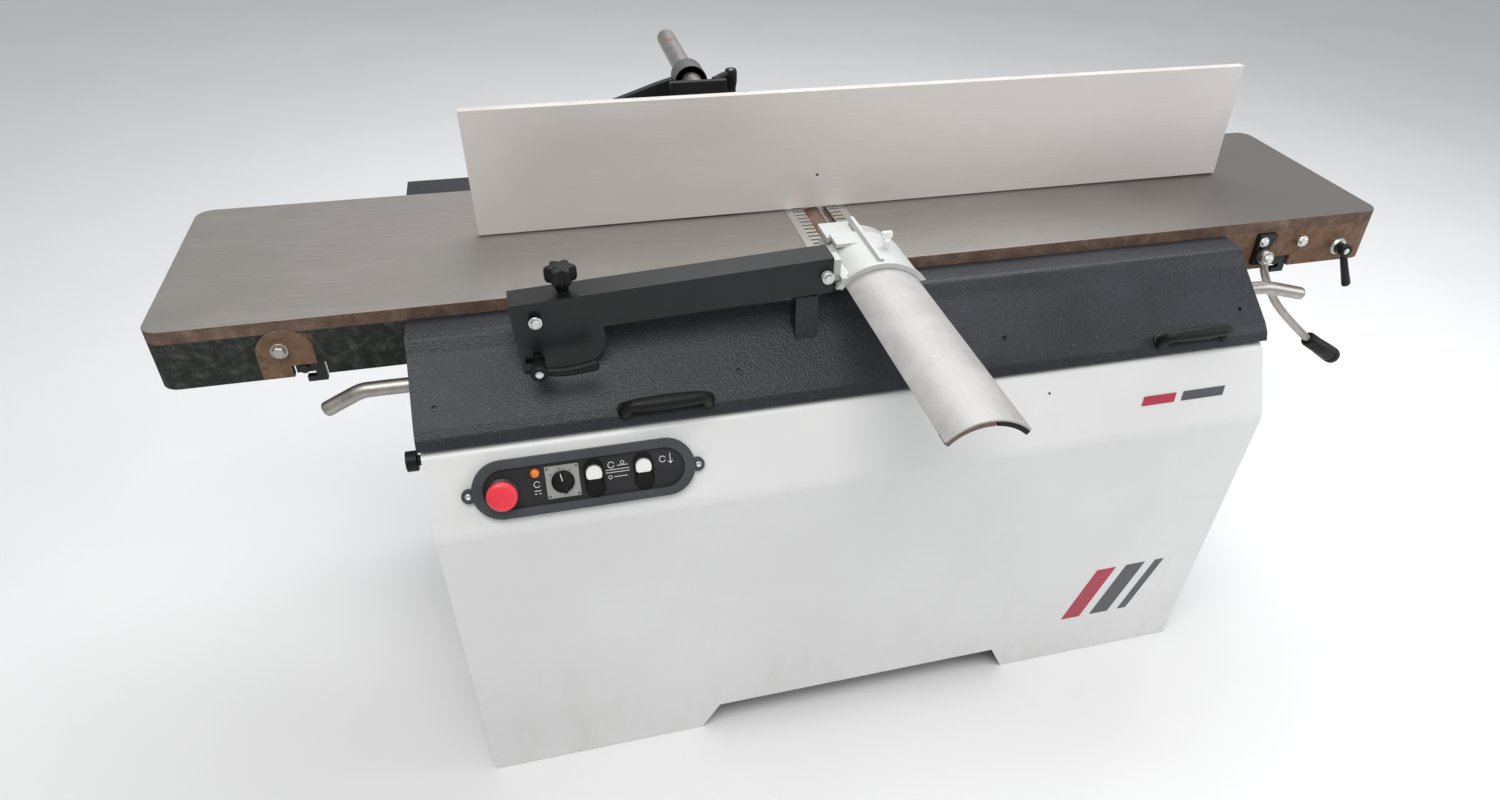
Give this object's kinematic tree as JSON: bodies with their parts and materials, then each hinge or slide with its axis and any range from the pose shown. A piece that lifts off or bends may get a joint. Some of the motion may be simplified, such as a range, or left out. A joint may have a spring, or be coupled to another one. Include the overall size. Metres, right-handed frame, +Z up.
{
  "type": "jointer",
  "caption": "Long-bed surface planer with a sliding tilting fence, bridge cutter guard, tables that swing up over a thicknessing bed, and a sheet-metal cabinet.",
  "frame": {"origin": "floor level at the centre of the four floor-bolt holes, under the cutterblock axis", "axes": "+X along the tables towards the infeed end, +Y to the rear, +Z up"},
  "size_m": [2.1472, 1.29, 1.102],
  "materials": {
    "white_paint": "satin",
    "grey_frame_paint": "satin",
    "anthracite_paint": "hammered",
    "black_paint": "satin",
    "cast_table": "ground",
    "lip_aluminium": "satin",
    "fence_aluminium": "anodised",
    "guard_aluminium": "satin",
    "bare_steel": "brushed",
    "block_steel": "lightly rusted",
    "knife_steel": "ground",
    "black_plastic": "matte",
    "panel_grey_plastic": "matte",
    "panel_dark": "satin",
    "white_plastic": "gloss",
    "red_plastic": "gloss",
    "amber_lens": "translucent gloss",
    "screw_steel": "zinc plated",
    "belt_rubber": "matte",
    "motor_paint": "satin",
    "galvanised": "zinc coated"
  },
  "bodies": {
    "cabinet": {"base_frame": "grey_frame_paint", "cabinet_front": "white_paint", "cabinet_rear": "white_paint", "cabinet_end_left": "white_paint", "cabinet_end_right": "white_paint", "cheek_front": "grey_frame_paint", "cheek_rear": "grey_frame_paint", "cutter_bearings": "bare_steel", "drive_belt": "belt_rubber", "motor_body": "motor_paint", "chip_hood": "galvanised", "cable_gland": "black_plastic", "lift_column": "grey_frame_paint", "hinge_blocks": "grey_frame_paint", "control_surround": "panel_grey_plastic", "control_plate": "panel_dark", "signal_lamp": "amber_lens", "panel_screws": "screw_steel"},
    "cutterblock": {"cutterblock": "block_steel", "cutter_knives": "knife_steel", "cutter_gibs": "knife_steel", "cutter_pulley": "bare_steel"},
    "motor_rotor": {"motor_pulley": "bare_steel"},
    "thickness_table": {"thickness_table": "cast_table"},
    "feed_roller_infeed": {"feed_roller_infeed": "bare_steel"},
    "feed_roller_outfeed": {"feed_roller_outfeed": "bare_steel"},
    "estop_button": {"estop_button": "red_plastic"},
    "selector_knob": {"selector_knob": "black_plastic"},
    "white_button_left": {"white_button_left": "white_plastic"},
    "black_button_left": {"black_button_left": "black_plastic"},
    "white_button_right": {"white_button_right": "white_plastic"},
    "black_button_right": {"black_button_right": "black_plastic"},
    "side_knob": {"side_knob": "black_plastic"},
    "tables": {"table_outfeed": "cast_table", "lip_outfeed": "lip_aluminium", "rear_beam": "anthracite_paint", "front_cover": "anthracite_paint", "pull_handle_outfeed": "black_plastic", "pull_handle_infeed": "black_plastic", "latch_hook_outfeed": "black_paint", "fence_carrier": "black_paint", "guard_bracket": "black_paint"},
    "infeed_table": {"table_infeed": "cast_table", "lip_infeed": "lip_aluminium", "latch_hook_infeed": "black_paint"},
    "table_lock_lever": {"table_lock_lever": "black_plastic"},
    "lock_bar_left": {"lock_bar_left": "bare_steel"},
    "lock_bar_right": {"lock_bar_right": "bare_steel"},
    "depth_lever": {"depth_lever": "bare_steel", "depth_grip": "black_plastic"},
    "fence_slider": {"fence_bar": "bare_steel", "fence_bracket": "black_paint"},
    "fence_plate": {"fence_plate": "fence_aluminium"},
    "fence_clamp_lever": {"fence_clamp_lever": "black_plastic"},
    "guard_arm": {"guard_arm": "black_paint"},
    "guard_holder": {"guard_holder": "guard_aluminium"},
    "guard_blade": {"guard_blade": "guard_aluminium"},
    "guard_thumbscrew": {"guard_thumbscrew": "white_plastic"},
    "star_knob": {"star_knob": "black_plastic"},
    "arm_clamp_lever": {"arm_clamp_lever": "black_plastic"}
  },
  "joints": [
    {"name": "tables_tilt", "type": "hinge", "parent": "cabinet", "child": "tables", "pos_m": [0, 0.34, 0.76], "axis": [-1, 0, 0], "range_deg": [0, 80]},
    {"name": "infeed_depth", "type": "slide", "parent": "tables", "child": "infeed_table", "axis": [0.8, 0, -0.6], "range_m": [0, 0.008]},
    {"name": "depth_lever_swing", "type": "hinge", "parent": "tables", "child": "depth_lever", "pos_m": [0.812, -0.187, 0.822], "axis": [0, 1, 0], "range_deg": [0, 40]},
    {"name": "table_lock_turn", "type": "hinge", "parent": "infeed_table", "child": "table_lock_lever", "pos_m": [0.978, -0.19, 0.826], "axis": [0, 1, 0], "range_deg": [0, 90]},
    {"name": "lock_bar_left_turn", "type": "hinge", "parent": "tables", "child": "lock_bar_left", "pos_m": [-0.7, -0.205, 0.774], "axis": [-1, 0, 0], "range_deg": [0, 90]},
    {"name": "lock_bar_right_turn", "type": "hinge", "parent": "tables", "child": "lock_bar_right", "pos_m": [0.71, -0.225, 0.781], "axis": [-1, 0, 0], "range_deg": [0, 90]},
    {"name": "fence_slide", "type": "slide", "parent": "tables", "child": "fence_slider", "axis": [0, 1, 0], "range_m": [-0.16, 0.045]},
    {"name": "fence_tilt", "type": "hinge", "parent": "fence_slider", "child": "fence_plate", "pos_m": [0, 0.082, 0.905], "axis": [-1, 0, 0], "range_deg": [0, 45]},
    {"name": "fence_clamp_turn", "type": "hinge", "parent": "tables", "child": "fence_clamp_lever", "pos_m": [-0.1, 0.318, 1.03], "axis": [0, 0, 1], "range_deg": [-60, 10]},
    {"name": "guard_lift", "type": "hinge", "parent": "tables", "child": "guard_arm", "pos_m": [-0.518, -0.257, 0.907], "axis": [0, -1, 0], "range_deg": [-1.5, 8]},
    {"name": "guard_level", "type": "hinge", "parent": "guard_arm", "child": "guard_holder", "pos_m": [-0.08, -0.257, 0.931], "axis": [0, -1, 0], "range_deg": [-8, 1.5]},
    {"name": "guard_slide", "type": "slide", "parent": "guard_holder", "child": "guard_blade", "axis": [0, 1, 0], "range_m": [-0.1, 0.16]},
    {"name": "guard_thumbscrew_turn", "type": "hinge", "parent": "guard_holder", "child": "guard_thumbscrew", "pos_m": [0.036, -0.222, 0.95], "axis": [0, 0, 1], "range_deg": [-180, 180]},
    {"name": "star_knob_turn", "type": "hinge", "parent": "guard_arm", "child": "star_knob", "pos_m": [-0.474, -0.257, 0.95], "axis": [0, 0, 1], "range_deg": [-180, 180]},
    {"name": "arm_clamp_turn", "type": "hinge", "parent": "tables", "child": "arm_clamp_lever", "pos_m": [-0.522, -0.31, 0.843], "axis": [0, -1, 0], "range_deg": [-20, 60]},
    {"name": "cutterblock_spin", "type": "hinge", "parent": "cabinet", "child": "cutterblock", "pos_m": [0, 0, 0.837], "axis": [0, 1, 0], "continuous": true},
    {"name": "motor_spin", "type": "hinge", "parent": "cabinet", "child": "motor_rotor", "pos_m": [0.42, 0.3, 0.385], "axis": [0, 1, 0], "continuous": true},
    {"name": "thickness_lift", "type": "slide", "parent": "cabinet", "child": "thickness_table", "axis": [0, 0, 1], "range_m": [0, 0.205]},
    {"name": "feed_infeed_spin", "type": "hinge", "parent": "cabinet", "child": "feed_roller_infeed", "pos_m": [0.086, 0, 0.752], "axis": [0, 1, 0], "continuous": true},
    {"name": "feed_outfeed_spin", "type": "hinge", "parent": "cabinet", "child": "feed_roller_outfeed", "pos_m": [-0.086, 0, 0.752], "axis": [0, 1, 0], "continuous": true},
    {"name": "estop_press", "type": "slide", "parent": "cabinet", "child": "estop_button", "axis": [0, 0.9034, -0.4288], "range_m": [0, 0.006]},
    {"name": "selector_turn", "type": "hinge", "parent": "cabinet", "child": "selector_knob", "pos_m": [-0.51, -0.37514, 0.68231], "axis": [0, -0.9034, 0.4288], "range_deg": [-45, 45]},
    {"name": "white_left_press", "type": "slide", "parent": "cabinet", "child": "white_button_left", "axis": [0, 0.9034, -0.4288], "range_m": [0, 0.003], "stiffness_N_per_m": 200, "springref_m": -0.002},
    {"name": "black_left_press", "type": "slide", "parent": "cabinet", "child": "black_button_left", "axis": [0, 0.9034, -0.4288], "range_m": [0, 0.003], "stiffness_N_per_m": 200, "springref_m": -0.002},
    {"name": "white_right_press", "type": "slide", "parent": "cabinet", "child": "white_button_right", "axis": [0, 0.9034, -0.4288], "range_m": [0, 0.003], "stiffness_N_per_m": 200, "springref_m": -0.002},
    {"name": "black_right_press", "type": "slide", "parent": "cabinet", "child": "black_button_right", "axis": [0, 0.9034, -0.4288], "range_m": [0, 0.003], "stiffness_N_per_m": 200, "springref_m": -0.002},
    {"name": "side_knob_turn", "type": "hinge", "parent": "cabinet", "child": "side_knob", "pos_m": [-0.71, -0.325, 0.718], "axis": [1, 0, 0], "range_deg": [-150, 150]}
  ],
  "couplings": [
    {"joint": "depth_lever_swing", "follows": "infeed_depth", "rad_per_m": 87},
    {"joint": "motor_spin", "follows": "cutterblock_spin", "ratio": 0.685},
    {"joint": "feed_outfeed_spin", "follows": "feed_infeed_spin", "ratio": 1},
    {"joint": "guard_level", "follows": "guard_lift", "ratio": -1}
  ]
}
